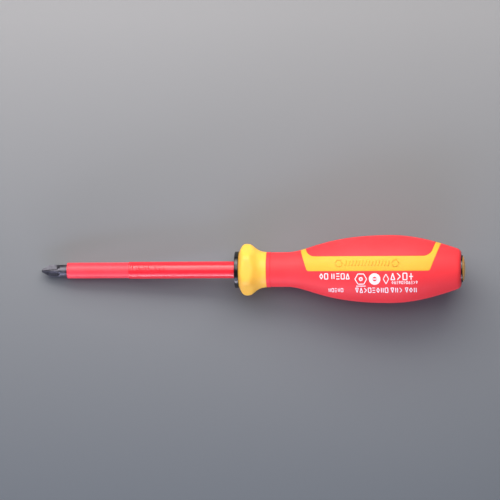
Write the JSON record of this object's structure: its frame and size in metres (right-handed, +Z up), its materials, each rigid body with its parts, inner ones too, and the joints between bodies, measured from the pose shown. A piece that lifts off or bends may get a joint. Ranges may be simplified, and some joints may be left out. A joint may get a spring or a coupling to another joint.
{
  "type": "insulated screwdriver",
  "caption": "Insulated cross-point screwdriver: sheathed round blade, hexagonal hand guard and a bellied grip with a framed inlay.",
  "frame": {"origin": "on the blade's axis, at the front face of the black collar", "axes": "+X along the blade from its point towards the handle's end; +Z up, square to the side with the inlay's bar; +Y towards the middle of the framed panel"},
  "size_m": [0.2185, 0.0348, 0.0348],
  "materials": {
    "blade_steel": "burnished",
    "insulation_red": "satin moulded",
    "sleeve_red": "gloss moulded",
    "core_black": "gloss moulded",
    "guard_yellow": "satin moulded",
    "grip_red": "fine texture",
    "inlay_yellow": "satin moulded",
    "plug_yellow": "satin moulded"
  },
  "bodies": {
    "root": {"blade": "blade_steel", "blade_insulation": "insulation_red", "marked_sleeve": "sleeve_red", "handle_core": "core_black", "hand_guard": "guard_yellow", "grip_body": "grip_red", "inlay_frame": "inlay_yellow", "saddle_panel": "grip_red", "end_plug": "plug_yellow"}
  },
  "joints": []
}
